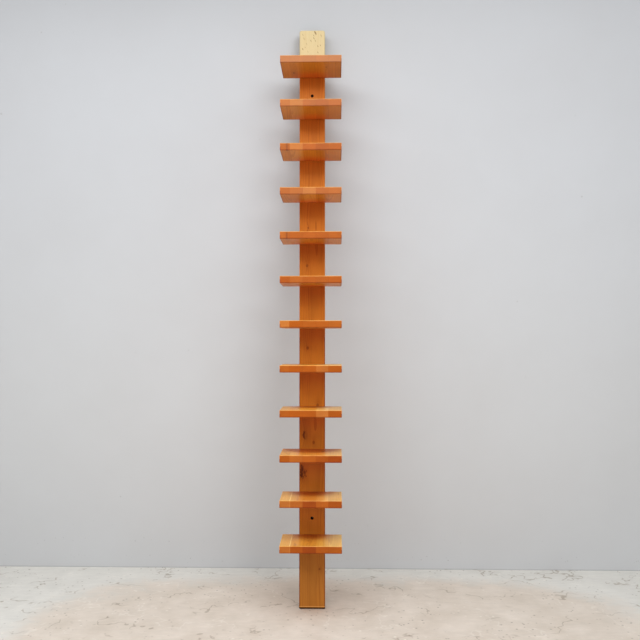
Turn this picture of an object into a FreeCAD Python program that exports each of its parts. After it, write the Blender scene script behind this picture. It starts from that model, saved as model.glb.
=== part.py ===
"""Spine bookshelf: a tall pine plank that carries a stack of equal shelves on its front face.

The plank stands on the floor with its back to the wall and is held there by two wall screws.
Units are millimetres. X runs along the shelves, -Y points into the room, +Y to the wall, +Z up.
The origin is the middle of the spine's foot, on the floor.
"""

import FreeCAD, Part
import os

# Spine: the upright plank.
SPINE_WIDTH = 105.0
SPINE_DEPTH = 45.0
SPINE_ARRIS_RADIUS = 5.0
FOOT_CHAMFER = 2.5

# Shelves: equal boards glued up from staves, butted on the spine's front face.
SHELF_COUNT = 12
SHELF_PITCH = 172.5
LOWEST_SHELF_TOP = 300.0
SHELF_WIDTH = 240.0
SHELF_REACH = 170.0
SHELF_THICKNESS = 28.0
SHELF_EDGE_RADIUS = 2.0
SHELF_BACK_RADIUS = 0.8

# Top block: bare softwood of the spine's own section, on the spine's top end.
TOP_BLOCK_HEIGHT = 172.5
TOP_BLOCK_CORNER_RADIUS = 9.0

# Dowels, glued: two in each shelf joint and two between the spine and the top block.
DOWEL_DIAMETER = 10.0
DOWEL_CHAMFER = 1.0
DOWEL_GLUE_GAP = 0.1
DOWEL_END_GAP = 2.0
SHELF_DOWEL_LENGTH = 50.0
SHELF_DOWEL_SPACING = 24.0
SHELF_DOWEL_SPINE_DEPTH = 22.0
BLOCK_DOWEL_LENGTH = 60.0
BLOCK_DOWEL_SPACING = 50.0
BLOCK_DOWEL_SPINE_DEPTH = 30.0
BLOCK_DOWEL_SET_BACK = 5.0

# Shelf screws: two countersunk wood screws in each shelf joint, driven from behind.
SCREW_SPACING = 76.0
SCREW_LENGTH = 90.0
SCREW_SHANK_DIAMETER = 6.0
SCREW_CORE_DIAMETER = 4.2
SCREW_THREAD_LENGTH = 51.0
SCREW_THREAD_PITCH = 3.0
SCREW_TIP_LENGTH = 6.0
SCREW_HEAD_DIAMETER = 12.0
SCREW_HEAD_RIM = 0.6
SCREW_HEAD_RECESS = 4.0
SCREW_SHANK_CLEARANCE = 0.25
SCREW_THREAD_CLEARANCE = 0.05
SCREW_HEAD_CLEARANCE = 0.5
SCREW_TIP_CLEARANCE = 2.0
CROSS_RECESS_LENGTH = 6.5
CROSS_RECESS_WIDTH = 1.2
CROSS_RECESS_DEPTH = 2.6

# Wall screw holes: one in the lowest bay and one in the highest, each above its bay's own shelf.
WALL_HOLE_DIAMETER = 6.0
WALL_COUNTERBORE_DIAMETER = 11.0
WALL_COUNTERBORE_DEPTH = 18.0
LOW_HOLE_ABOVE_SHELF = 65.0
HIGH_HOLE_ABOVE_SHELF = 70.0

# Places that follow from the sizes above.
FRONT_Y = -SPINE_DEPTH / 2
BACK_Y = SPINE_DEPTH / 2
SHELF_TOPS = [LOWEST_SHELF_TOP + i * SHELF_PITCH for i in range(SHELF_COUNT)]
SPINE_TOP = SHELF_TOPS[-1]
WALL_HOLE_HEIGHTS = [SHELF_TOPS[0] + LOW_HOLE_ABOVE_SHELF, SHELF_TOPS[-2] + HIGH_HOLE_ABOVE_SHELF]
SCREW_HEAD_Y = BACK_Y - SCREW_HEAD_RECESS
SCREW_CONE_HEIGHT = (SCREW_HEAD_DIAMETER - SCREW_SHANK_DIAMETER) / 2
SCREW_SEAT_Y = SCREW_HEAD_Y - SCREW_HEAD_RIM
SHELF_DOWEL_BOTTOM_Y = FRONT_Y + SHELF_DOWEL_SPINE_DEPTH
BLOCK_DOWEL_BOTTOM_Z = SPINE_TOP - BLOCK_DOWEL_SPINE_DEPTH

INTO_ROOM = FreeCAD.Vector(0, -1, 0)
TO_WALL = FreeCAD.Vector(0, 1, 0)
UP = FreeCAD.Vector(0, 0, 1)


def point(x, y, z):
    return FreeCAD.Vector(x, y, z)


def pair(spacing):
    """The two places either side of the middle."""
    return (-spacing / 2, spacing / 2)


def centre_height(shelf_top):
    return shelf_top - SHELF_THICKNESS / 2


def edges_where(shape, test):
    """The edges whose bounding box passes the test."""
    return [edge for edge in shape.Edges if test(edge.BoundBox)]


def stood_on(box, axis, level):
    """True for an edge that lies wholly in the plane where that axis has that value."""
    low = getattr(box, axis + "Min")
    high = getattr(box, axis + "Max")
    return abs(low - level) < 0.001 and abs(high - level) < 0.001


def cylinder(radius, length, start, direction):
    return Part.makeCylinder(radius, length, start, direction)


def fuse_all(shapes):
    return shapes[0].multiFuse(shapes[1:])


# ---- Dowels ----


def dowel(length, start, direction):
    """A round beech peg with chamfered ends."""
    peg = cylinder(DOWEL_DIAMETER / 2, length, start, direction)
    rims = [edge for edge in peg.Edges if edge.Closed]
    return peg.makeChamfer(DOWEL_CHAMFER, rims)


def dowel_socket(depth, start, direction):
    """The round hole that a dowel is glued into."""
    return cylinder(DOWEL_DIAMETER / 2 + DOWEL_GLUE_GAP, depth, start, direction)


def shelf_dowels(shelf_top):
    """Each dowel is bottomed in the spine and stands out into the shelf."""
    pegs = []
    for x in pair(SHELF_DOWEL_SPACING):
        bottom = point(x, SHELF_DOWEL_BOTTOM_Y, centre_height(shelf_top))
        pegs.append(dowel(SHELF_DOWEL_LENGTH, bottom, INTO_ROOM))
    return Part.makeCompound(pegs)


def block_dowels():
    """The two upright dowels between the spine and the top block."""
    pegs = []
    for x in pair(BLOCK_DOWEL_SPACING):
        bottom = point(x, BLOCK_DOWEL_SET_BACK, BLOCK_DOWEL_BOTTOM_Z)
        pegs.append(dowel(BLOCK_DOWEL_LENGTH, bottom, UP))
    return Part.makeCompound(pegs)


# ---- Screws ----


def thread_outline():
    """Radius and distance from the head's top, ridge by ridge, along the threaded stretch."""
    core = SCREW_CORE_DIAMETER / 2
    crest = SCREW_SHANK_DIAMETER / 2
    start = SCREW_LENGTH - SCREW_THREAD_LENGTH
    ridges = int((SCREW_THREAD_LENGTH - SCREW_TIP_LENGTH) // SCREW_THREAD_PITCH)
    outline = []
    for i in range(ridges):
        root = start + i * SCREW_THREAD_PITCH
        outline.append((core, root))
        outline.append((crest, root + SCREW_THREAD_PITCH / 2))
    outline.append((core, start + ridges * SCREW_THREAD_PITCH))
    return outline


def screw_outline():
    """Half the screw's section: radius and distance from the head's top."""
    head = SCREW_HEAD_DIAMETER / 2
    shank = SCREW_SHANK_DIAMETER / 2
    outline = [(0, 0), (head, 0), (head, SCREW_HEAD_RIM)]
    outline.append((shank, SCREW_HEAD_RIM + SCREW_CONE_HEIGHT))
    outline.append((shank, SCREW_LENGTH - SCREW_THREAD_LENGTH))
    outline += thread_outline()
    outline.append((SCREW_CORE_DIAMETER / 2, SCREW_LENGTH - SCREW_TIP_LENGTH))
    outline.append((0, SCREW_LENGTH))
    return outline


def without_repeats(points):
    kept = [points[0]]
    for candidate in points[1:]:
        if candidate.distanceToPoint(kept[-1]) > 0.001:
            kept.append(candidate)
    return kept


def cross_recess(x, z):
    """The cross that the driver's bit sits in."""
    bottom = SCREW_HEAD_Y - CROSS_RECESS_DEPTH
    half_length = CROSS_RECESS_LENGTH / 2
    half_width = CROSS_RECESS_WIDTH / 2
    arms = []
    for half_x, half_z in ((half_length, half_width), (half_width, half_length)):
        corner = point(x - half_x, bottom, z - half_z)
        arms.append(Part.makeBox(2 * half_x, CROSS_RECESS_DEPTH, 2 * half_z, corner))
    return fuse_all(arms)


def screw(x, z):
    """One wood screw with its head towards the wall."""
    places = [point(x + radius, SCREW_HEAD_Y - along, z) for radius, along in screw_outline()]
    corners = without_repeats(places)
    section = Part.Face(Part.makePolygon(corners + corners[:1]))
    turned = section.revolve(point(x, SCREW_HEAD_Y, z), TO_WALL, 360)
    return turned.cut(cross_recess(x, z))


def shelf_screws(shelf_top):
    z = centre_height(shelf_top)
    return Part.makeCompound([screw(x, z) for x in pair(SCREW_SPACING)])


def screw_way(x, z):
    """Counterbore, countersink and shank hole through the spine for one shelf screw."""
    shank = SCREW_SHANK_DIAMETER / 2
    head = SCREW_HEAD_DIAMETER / 2
    mouth_depth = SCREW_HEAD_RECESS + SCREW_HEAD_RIM
    mouth = cylinder(head + SCREW_HEAD_CLEARANCE, mouth_depth, point(x, BACK_Y, z), INTO_ROOM)
    seat_start = point(x, SCREW_SEAT_Y, z)
    seat = Part.makeCone(head, shank, SCREW_CONE_HEIGHT, seat_start, INTO_ROOM)
    hole = cylinder(shank + SCREW_SHANK_CLEARANCE, SPINE_DEPTH, point(x, BACK_Y, z), INTO_ROOM)
    return fuse_all([mouth, seat, hole])


def screw_pilot(x, z):
    """The hole in the shelf's end that one screw's thread holds in."""
    reach = SCREW_LENGTH + SCREW_HEAD_RECESS - SPINE_DEPTH
    radius = SCREW_SHANK_DIAMETER / 2 + SCREW_THREAD_CLEARANCE
    return cylinder(radius, reach + SCREW_TIP_CLEARANCE, point(x, FRONT_Y, z), INTO_ROOM)


# ---- Shelves ----


def shelf(shelf_top):
    """One board with eased edges, drilled at the back for its dowels and screws."""
    corner = point(-SHELF_WIDTH / 2, FRONT_Y - SHELF_REACH, shelf_top - SHELF_THICKNESS)
    board = Part.makeBox(SHELF_WIDTH, SHELF_REACH, SHELF_THICKNESS, corner)
    shown = edges_where(board, lambda box: not stood_on(box, "Y", FRONT_Y))
    board = board.makeFillet(SHELF_EDGE_RADIUS, shown)
    rear = edges_where(board, lambda box: stood_on(box, "Y", FRONT_Y))
    board = board.makeFillet(SHELF_BACK_RADIUS, rear)
    z = centre_height(shelf_top)
    socket_depth = SHELF_DOWEL_LENGTH - SHELF_DOWEL_SPINE_DEPTH + DOWEL_END_GAP
    holes = [screw_pilot(x, z) for x in pair(SCREW_SPACING)]
    for x in pair(SHELF_DOWEL_SPACING):
        holes.append(dowel_socket(socket_depth, point(x, FRONT_Y, z), INTO_ROOM))
    return board.cut(holes)


# ---- Spine and top block ----


def wall_hole(z):
    """A screw hole right through the spine, counterbored from the front."""
    start = point(0, FRONT_Y, z)
    mouth = cylinder(WALL_COUNTERBORE_DIAMETER / 2, WALL_COUNTERBORE_DEPTH, start, TO_WALL)
    hole = cylinder(WALL_HOLE_DIAMETER / 2, SPINE_DEPTH, start, TO_WALL)
    return mouth.fuse(hole)


def spine_stock(bottom, top):
    """A square-edged length of timber of the spine's section."""
    corner = point(-SPINE_WIDTH / 2, FRONT_Y, bottom)
    return Part.makeBox(SPINE_WIDTH, SPINE_DEPTH, top - bottom, corner)


def spine_holes():
    holes = [wall_hole(z) for z in WALL_HOLE_HEIGHTS]
    for shelf_top in SHELF_TOPS:
        z = centre_height(shelf_top)
        holes += [screw_way(x, z) for x in pair(SCREW_SPACING)]
        for x in pair(SHELF_DOWEL_SPACING):
            start = point(x, FRONT_Y, z)
            holes.append(dowel_socket(SHELF_DOWEL_SPINE_DEPTH, start, TO_WALL))
    for x in pair(BLOCK_DOWEL_SPACING):
        start = point(x, BLOCK_DOWEL_SET_BACK, BLOCK_DOWEL_BOTTOM_Z)
        holes.append(dowel_socket(BLOCK_DOWEL_SPINE_DEPTH, start, UP))
    return holes


def spine():
    """The plank from the floor to the top shelf's upper face, with every joint's holes."""
    body = spine_stock(0, SPINE_TOP)
    arrises = edges_where(body, lambda box: box.ZLength > SPINE_TOP / 2)
    body = body.makeFillet(SPINE_ARRIS_RADIUS, arrises)
    foot = edges_where(body, lambda box: stood_on(box, "Z", 0))
    body = body.makeChamfer(FOOT_CHAMFER, foot)
    return body.cut(spine_holes())


def top_block():
    """The bare block: rounded top corners in front view, and its edges rounded as the spine's."""
    top = SPINE_TOP + TOP_BLOCK_HEIGHT
    body = spine_stock(SPINE_TOP, top)
    shoulders = edges_where(body, lambda box: stood_on(box, "Z", top) and box.XLength < 0.001)
    body = body.makeFillet(TOP_BLOCK_CORNER_RADIUS, shoulders)
    shown = edges_where(body, lambda box: box.YLength < 0.001 and box.ZMax > SPINE_TOP + 0.001)
    body = body.makeFillet(SPINE_ARRIS_RADIUS, shown)
    socket_depth = BLOCK_DOWEL_LENGTH - BLOCK_DOWEL_SPINE_DEPTH + DOWEL_END_GAP
    holes = []
    for x in pair(BLOCK_DOWEL_SPACING):
        start = point(x, BLOCK_DOWEL_SET_BACK, SPINE_TOP)
        holes.append(dowel_socket(socket_depth, start, UP))
    return body.cut(holes)


def build():
    """Every piece by the name of its node."""
    pieces = {"spine": spine(), "top_block": top_block(), "top_block_dowels": block_dowels()}
    for number, shelf_top in enumerate(SHELF_TOPS, start=1):
        pieces[f"shelf_{number:02d}"] = shelf(shelf_top)
        pieces[f"shelf_dowels_{number:02d}"] = shelf_dowels(shelf_top)
        pieces[f"shelf_screws_{number:02d}"] = shelf_screws(shelf_top)
    return pieces


os.makedirs("parts", exist_ok=True)
for name, shape in build().items():
    shape.exportStep(f"parts/{name}.step")
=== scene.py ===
"""Spine bookshelf: the finish of every piece, the room round it, the lamps and the camera."""

import math

import bpy
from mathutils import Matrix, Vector


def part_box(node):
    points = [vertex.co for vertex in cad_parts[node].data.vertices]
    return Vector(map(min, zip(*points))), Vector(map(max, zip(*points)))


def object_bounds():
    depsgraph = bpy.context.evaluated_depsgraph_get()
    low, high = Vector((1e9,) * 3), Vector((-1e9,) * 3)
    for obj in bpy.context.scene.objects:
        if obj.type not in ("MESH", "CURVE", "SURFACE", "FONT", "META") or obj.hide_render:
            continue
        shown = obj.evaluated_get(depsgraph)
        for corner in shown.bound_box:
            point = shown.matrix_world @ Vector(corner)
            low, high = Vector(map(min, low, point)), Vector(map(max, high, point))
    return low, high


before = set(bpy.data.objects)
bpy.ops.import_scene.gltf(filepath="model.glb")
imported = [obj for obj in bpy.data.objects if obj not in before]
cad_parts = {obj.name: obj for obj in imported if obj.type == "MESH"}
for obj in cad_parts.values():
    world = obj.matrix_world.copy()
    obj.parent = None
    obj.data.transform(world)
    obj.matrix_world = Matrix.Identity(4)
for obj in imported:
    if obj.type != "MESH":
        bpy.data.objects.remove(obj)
cad_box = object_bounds()


# ---- The spine ----
# One pine plank, sawn flat from near the log's heart, planed, rounded along its four long edges and
# finished with an orange varnish. Its grain and its knots run as they do in a board: rings round a
# heart that lies behind the back face, pushed aside where a branch grew.

# Lengths are in metres. A name that ends in NOISE holds a noise's scale, detail and, for some, its
# roughness; in FADE, where a mask starts and where it is full; in MARK, a strength and a colour; in
# TINT, what a colour is multiplied by; in SPAN, what a value is multiplied by and what is added.

SPINE_HEART = (0.014, 0.052, 0.0)
SPINE_RING_WIDTH = 0.0042
SPINE_TONE = 0.5
SPINE_GLOSS = 0.11
SPINE_KNOTS = (  # across, height, radius
    (-0.026, 0.700, 0.0100),
    (-0.039, 0.571, 0.0050),
    (-0.036, 0.561, 0.0050),
    (-0.031, 0.550, 0.0044),
    (-0.042, 0.537, 0.0050),
    (-0.036, 0.530, 0.0046),
    (-0.023, 0.555, 0.0024),
    (-0.024, 0.534, 0.0022),
    (0.024, 0.822, 0.0050),
    (0.007, 0.671, 0.0045),
    (-0.017, 1.055, 0.0045),
    (-0.020, 1.392, 0.0042),
    (-0.016, 1.548, 0.0028),
    (0.031, 0.161, 0.0030),
    (-0.020, 2.080, 0.0022),
)


def add(tree, kind, **settings):
    """A new node with its settings."""
    node = tree.nodes.new(kind)
    for name, value in settings.items():
        setattr(node, name, value)
    return node


def feed(tree, socket, source):
    """Gives an input socket a link, if the source is an output, or a value."""
    if isinstance(source, bpy.types.NodeSocket):
        tree.links.new(source, socket)
    else:
        socket.default_value = source


def maths(tree, operation, *sources, clamp=False):
    """One Math node; its output."""
    node = add(tree, "ShaderNodeMath", operation=operation, use_clamp=clamp)
    for socket, source in zip(node.inputs, sources):
        feed(tree, socket, source)
    return node.outputs[0]


def times(tree, value, by):
    return maths(tree, "MULTIPLY", value, by)


def scaled(tree, value, by, added, clamp=False):
    """A value multiplied, with another one added."""
    return maths(tree, "MULTIPLY_ADD", value, by, added, clamp=clamp)


def vector_maths(tree, operation, *sources):
    """One Vector Math node; its vector output."""
    node = add(tree, "ShaderNodeVectorMath", operation=operation)
    for socket, source in zip(node.inputs, sources):
        feed(tree, socket, source)
    return node.outputs[0]


def stretched(tree, vector, by):
    return vector_maths(tree, "MULTIPLY", vector, by)


def drawn_out(tree, place, along):
    """A place shortened in Z, the grain's direction, so that what is drawn there comes out long."""
    return stretched(tree, place, (1.0, 1.0, along))


def parts_of(tree, vector):
    """The X, Y and Z of a vector."""
    node = add(tree, "ShaderNodeSeparateXYZ")
    feed(tree, node.inputs[0], vector)
    return node.outputs


def length_of(tree, vector):
    node = add(tree, "ShaderNodeVectorMath", operation="LENGTH")
    feed(tree, node.inputs[0], vector)
    return node.outputs["Value"]


def noise(tree, place, scale, detail=2.0, roughness=0.5):
    """Noise about zero, from -0.5 to 0.5."""
    node = add(tree, "ShaderNodeTexNoise")
    feed(tree, node.inputs["Vector"], place)
    feed(tree, node.inputs["Scale"], scale)
    feed(tree, node.inputs["Detail"], detail)
    feed(tree, node.inputs["Roughness"], roughness)
    return maths(tree, "SUBTRACT", node.outputs["Fac"], 0.5)


def fade(tree, value, start, end):
    """0 at start, 1 at end and a soft step between them."""
    node = add(tree, "ShaderNodeMapRange", interpolation_type="SMOOTHSTEP")
    feed(tree, node.inputs["Value"], value)
    feed(tree, node.inputs["From Min"], start)
    feed(tree, node.inputs["From Max"], end)
    return node.outputs["Result"]


def srgb(red, green, blue):
    """A colour written as 0 to 255 screen values, in linear light."""
    def linear(value):
        value /= 255
        return value / 12.92 if value <= 0.04045 else ((value + 0.055) / 1.055) ** 2.4
    return (linear(red), linear(green), linear(blue), 1.0)


def grey(value):
    return (value, value, value, 1.0)


def blend_colours(tree, factor, first, second, kind="MIX"):
    """One colour Mix node; its output."""
    node = add(tree, "ShaderNodeMix", data_type="RGBA", blend_type=kind)
    feed(tree, node.inputs["Factor"], factor)
    feed(tree, node.inputs["A"], first)
    feed(tree, node.inputs["B"], second)
    return node.outputs["Result"]


def marked(tree, colour, mask, strength, mark):
    """A colour turned towards a mark's colour, by the strength where the mask is 1."""
    return blend_colours(tree, times(tree, mask, strength), colour, srgb(*mark))


def tinted(tree, colour, mask, tint):
    """A colour multiplied by a tint where the mask is 1."""
    return blend_colours(tree, mask, colour, tint, "MULTIPLY")


def shaded(tree, colour, shade):
    """A colour made lighter or darker by a value about 1."""
    tint = add(tree, "ShaderNodeCombineColor")
    for channel in ("Red", "Green", "Blue"):
        feed(tree, tint.inputs[channel], shade)
    return tinted(tree, colour, 1.0, tint.outputs["Color"])


def ramp(tree, factor, stops, kind="LINEAR"):
    """A ramp through (place, colour) stops; its colour output."""
    node = add(tree, "ShaderNodeValToRGB")
    node.color_ramp.interpolation = kind
    elements = node.color_ramp.elements
    while len(elements) < len(stops):
        elements.new(1.0)
    for element, (place, colour) in zip(elements, stops):
        element.position = place
        element.color = colour
    feed(tree, node.inputs["Fac"], factor)
    return node.outputs["Color"]


def new_group(name, inputs, outputs):
    """An empty shader group with its sockets; the tree, its input node and its output node."""
    tree = bpy.data.node_groups.new(name, "ShaderNodeTree")
    for direction, sockets in (("INPUT", inputs), ("OUTPUT", outputs)):
        for socket, kind in sockets.items():
            tree.interface.new_socket(socket, in_out=direction, socket_type="NodeSocket" + kind)
    return tree, tree.nodes.new("NodeGroupInput"), tree.nodes.new("NodeGroupOutput")


def use_group(tree, group, **sources):
    """A group placed in a tree. An underscore in a keyword stands for a space."""
    node = add(tree, "ShaderNodeGroup", node_tree=group)
    for name, source in sources.items():
        feed(tree, node.inputs[name.replace("_", " ")], source)
    return node


# A knot's own lengths are in its radii.
KNOT_NOISE = (110.0, 2.0)
KNOT_WANDER = 0.7
KNOT_OVAL = (1.0, 0.0, 0.72)
KNOT_FADE = (1.1, 0.8)
KNOT_RINGS = 15.0
KNOT_RING_DEPTH = 0.12
DEAD_KNOT_SPAN = (-70.0, 0.85)
KNOT_BARK = 0.95
KNOT_BARK_FADE = (0.42, 0.10)
KNOT_BARK_SIDE_SPAN = (-90.0, 0.35)
PUSHED_OVAL = (1.0, 0.0, 0.3)
PUSHED_FALL = -0.22


def knot_group():
    """A branch that leaves the board through its face. Place has its grain along Z.

    A big knot was alive, with a pale ringed heart; a small one is dark all through.
    """
    tree, given, result = new_group(
        "pine knot",
        {"Place": "Vector", "Centre": "Vector", "Radius": "Float"},
        {"Push": "Float", "Core": "Float", "Halo": "Float"},
    )
    place = given.outputs["Place"]
    size = given.outputs["Radius"]
    away = vector_maths(tree, "SUBTRACT", place, given.outputs["Centre"])
    radii = maths(tree, "DIVIDE", length_of(tree, stretched(tree, away, KNOT_OVAL)), size)
    radii = scaled(tree, noise(tree, place, *KNOT_NOISE), KNOT_WANDER, radii)
    rings = maths(tree, "SINE", times(tree, radii, KNOT_RINGS))
    dead = scaled(tree, size, *DEAD_KNOT_SPAN, clamp=True)
    inside = fade(tree, radii, *KNOT_FADE)
    heart = times(tree, inside, scaled(tree, rings, KNOT_RING_DEPTH, dead))
    from_bark = maths(tree, "ABSOLUTE", maths(tree, "SUBTRACT", radii, KNOT_BARK))
    side = scaled(tree, parts_of(tree, away)["X"], *KNOT_BARK_SIDE_SPAN, clamp=True)
    bark = times(tree, fade(tree, from_bark, *KNOT_BARK_FADE), side)
    spread = maths(tree, "DIVIDE", length_of(tree, stretched(tree, away, PUSHED_OVAL)), size)
    falling = times(tree, maths(tree, "POWER", spread, 2.0), PUSHED_FALL)
    falling = maths(tree, "EXPONENT", falling)
    feed(tree, result.inputs["Push"], times(tree, falling, size))
    feed(tree, result.inputs["Core"], maths(tree, "MAXIMUM", heart, bark))
    feed(tree, result.inputs["Halo"], falling)
    return tree


RING_WANDERS = (  # length along the grain, noise scale, detail, wander
    (0.16, 11.0, 1.0, 0.030),
    (0.1, 70.0, 2.0, 0.0030),
    (0.06, 420.0, 2.0, 0.0004),
)
GOOD_YEARS = 0.45
GOOD_YEARS_SHIFT = 1.6
YEAR = (  # how far through the year, how dark its wood
    (0.0, 0.10),
    (0.08, 0.0),
    (0.52, 0.16),
    (0.82, 0.85),
    (0.94, 1.0),
    (1.0, 0.10),
)
YEAR_STRENGTH_SPAN = (0.55, 0.45)
FIBRE_LENGTH = 0.025
FIBRE_NOISE = (900.0, 3.0, 0.6)
CLOUD_LENGTH = 0.3
CLOUD_NOISE = (14.0, 2.0)


def grain_group():
    """Growth rings round the Z axis of Place, with the wander that a trunk gives them."""
    tree, given, result = new_group(
        "pine grain",
        {"Place": "Vector", "Ring Width": "Float", "Push": "Float"},
        {"Latewood": "Float", "Fibre": "Float", "Cloud": "Float"},
    )
    place = given.outputs["Place"]
    radius = length_of(tree, drawn_out(tree, place, 0.0))
    radius = maths(tree, "ADD", radius, given.outputs["Push"])
    for length, scale, detail, wander in RING_WANDERS:
        swing = noise(tree, drawn_out(tree, place, length), scale, detail)
        radius = scaled(tree, swing, wander, radius)
    years = maths(tree, "DIVIDE", radius, given.outputs["Ring Width"])
    good_years = add(tree, "ShaderNodeTexNoise", noise_dimensions="1D")
    feed(tree, good_years.inputs["W"], years)
    feed(tree, good_years.inputs["Scale"], GOOD_YEARS)
    years = scaled(tree, good_years.outputs["Fac"], GOOD_YEARS_SHIFT, years)
    late = ramp(tree, maths(tree, "FRACT", years), [(part, grey(dark)) for part, dark in YEAR])
    one_year = add(tree, "ShaderNodeTexWhiteNoise", noise_dimensions="1D")
    feed(tree, one_year.inputs["W"], maths(tree, "FLOOR", years))
    strength = scaled(tree, one_year.outputs["Value"], *YEAR_STRENGTH_SPAN)
    fibre = noise(tree, drawn_out(tree, place, FIBRE_LENGTH), *FIBRE_NOISE)
    cloud = noise(tree, drawn_out(tree, place, CLOUD_LENGTH), *CLOUD_NOISE)
    feed(tree, result.inputs["Latewood"], times(tree, late, strength))
    feed(tree, result.inputs["Fibre"], fibre)
    feed(tree, result.inputs["Cloud"], cloud)
    return tree


VARNISHED_WOOD = (  # red-brown, plain and pale boards
    (0.0, (182, 92, 28)),
    (0.5, (213, 128, 41)),
    (1.0, (237, 174, 97)),
)
VARNISHED_RING = (  # the dark rings of the same boards
    (0.0, (148, 61, 15)),
    (0.5, (172, 87, 24)),
    (1.0, (203, 130, 64)),
)
RING_STRENGTH = 0.6
HALO_MARK = (0.30, (168, 80, 22))
KNOT_MARK = (0.85, (112, 44, 12))
END_GRAIN_TINT = (0.63, 0.44, 0.32, 1.0)
WORN_EDGE_MARK = (0.55, (236, 164, 84))
FIBRE_SHADE_SPAN = (0.30, 1.0)
CLOUD_SHADE = 0.40
RING_RELIEF = 0.35


def toned(tree, tone, stops):
    """One of the wood's colours, from red-brown boards at tone 0 to pale ones at 1."""
    return ramp(tree, tone, [(place, srgb(*colour)) for place, colour in stops])


def varnish_group():
    """Orange-varnished pine: darker in latewood, end grain and knots, paler on worn edges."""
    tree, given, result = new_group(
        "orange varnish over pine",
        {
            "Latewood": "Float", "Fibre": "Float", "Cloud": "Float", "Knot": "Float",
            "Halo": "Float", "End Grain": "Float", "Worn Edge": "Float", "Tone": "Float",
        },
        {"Colour": "Color", "Relief": "Float"},
    )
    wood = toned(tree, given.outputs["Tone"], VARNISHED_WOOD)
    ring = toned(tree, given.outputs["Tone"], VARNISHED_RING)
    late = times(tree, given.outputs["Latewood"], RING_STRENGTH)
    colour = blend_colours(tree, late, wood, ring)
    colour = marked(tree, colour, given.outputs["Halo"], *HALO_MARK)
    colour = marked(tree, colour, given.outputs["Knot"], *KNOT_MARK)
    colour = tinted(tree, colour, given.outputs["End Grain"], END_GRAIN_TINT)
    colour = marked(tree, colour, given.outputs["Worn Edge"], *WORN_EDGE_MARK)
    shade = scaled(tree, given.outputs["Fibre"], *FIBRE_SHADE_SPAN)
    shade = scaled(tree, given.outputs["Cloud"], CLOUD_SHADE, shade)
    relief = scaled(tree, given.outputs["Latewood"], RING_RELIEF, given.outputs["Fibre"])
    feed(tree, result.inputs["Colour"], shaded(tree, colour, shade))
    feed(tree, result.inputs["Relief"], relief)
    return tree


WORN_EDGE_NOISE = (60.0, 3.0)
WORN_EDGE_WANDER = -0.0030
WORN_EDGE_FADE = (0.0030, 0.0004)
# How wide the painted shade line along the lower edges is.
SHADED_EDGE_FADE = (0.0050, 0.0020)


def edge_group():
    """A square-cut piece's edges: the rubbed ones, and the lower ones, which get a thin line of
    painted shade.
    """
    tree, given, result = new_group(
        "rubbed and shaded edges",
        {"Place": "Vector", "Low": "Vector", "High": "Vector"},
        {"Worn Edge": "Float", "Lower Edge": "Float"},
    )
    from_low = vector_maths(tree, "SUBTRACT", given.outputs["Place"], given.outputs["Low"])
    from_high = vector_maths(tree, "SUBTRACT", given.outputs["High"], given.outputs["Place"])
    x, y, z = parts_of(tree, vector_maths(tree, "MINIMUM", from_low, from_high))
    nearer = maths(tree, "MINIMUM", x, y)
    farther = maths(tree, "MAXIMUM", x, y)
    second = maths(tree, "MAXIMUM", nearer, maths(tree, "MINIMUM", farther, z))
    rubbed = noise(tree, given.outputs["Place"], *WORN_EDGE_NOISE)
    worn = fade(tree, scaled(tree, rubbed, WORN_EDGE_WANDER, second), *WORN_EDGE_FADE)
    below = parts_of(tree, vector_maths(tree, "SUBTRACT", from_high, from_low))["Z"]
    lower = maths(tree, "GREATER_THAN", below, 0.0)
    # Painted shade: a thin dark line along the lower edges.
    shaded_edge = times(tree, fade(tree, second, *SHADED_EDGE_FADE), lower)
    feed(tree, result.inputs["Worn Edge"], maths(tree, "SUBTRACT", worn, shaded_edge, clamp=True))
    feed(tree, result.inputs["Lower Edge"], shaded_edge)
    return tree


GLOSS_NOISE = (16.0, 4.0, 0.6)
GLOSS_SPAN = (0.22, 0.40)
RIPPLE_NOISE = (45.0, 1.0)
DENT_CELLS = 26.0
CELLS_WITHOUT_DENT = 0.8
DENT_FADE = (0.08, 0.02)
DENT_DEPTH = -1.6


def handling_group():
    """The varnish after years of use: a slight ripple, dents and patches of other gloss."""
    tree, given, result = new_group(
        "worn varnish",
        {"Place": "Vector"},
        {"Roughness": "Float", "Relief": "Float"},
    )
    place = given.outputs["Place"]
    dents = add(tree, "ShaderNodeTexVoronoi")
    feed(tree, dents.inputs["Vector"], place)
    feed(tree, dents.inputs["Scale"], DENT_CELLS)
    picked = add(tree, "ShaderNodeSeparateColor")
    feed(tree, picked.inputs["Color"], dents.outputs["Color"])
    few = maths(tree, "GREATER_THAN", picked.outputs["Red"], CELLS_WITHOUT_DENT)
    dent = times(tree, fade(tree, dents.outputs["Distance"], *DENT_FADE), few)
    patches = noise(tree, place, *GLOSS_NOISE)
    ripple = noise(tree, place, *RIPPLE_NOISE)
    feed(tree, result.inputs["Roughness"], scaled(tree, patches, *GLOSS_SPAN))
    feed(tree, result.inputs["Relief"], scaled(tree, dent, DENT_DEPTH, ripple))
    return tree


PINE_KNOT = knot_group()
PINE_GRAIN = grain_group()
ORANGE_VARNISH = varnish_group()
RUBBED_AND_SHADED_EDGES = edge_group()
WORN_VARNISH = handling_group()


def new_material(name):
    """An empty node material with its Principled shader; the material, the tree and the shader."""
    material = bpy.data.materials.new(name)
    material.use_nodes = True
    tree = material.node_tree
    tree.nodes.clear()
    shader = add(tree, "ShaderNodeBsdfPrincipled")
    output = add(tree, "ShaderNodeOutputMaterial")
    feed(tree, output.inputs["Surface"], shader.outputs["BSDF"])
    return material, tree, shader


def frame_place(tree):
    """The place on the object in metres, in the frame that all its pieces share."""
    return add(tree, "ShaderNodeTexCoord").outputs["Object"]


def faces(tree):
    """The surface's own direction, as X, Y and Z."""
    return parts_of(tree, add(tree, "ShaderNodeTexCoord").outputs["Normal"])


END_GRAIN_SHARPNESS = 3.0


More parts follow.
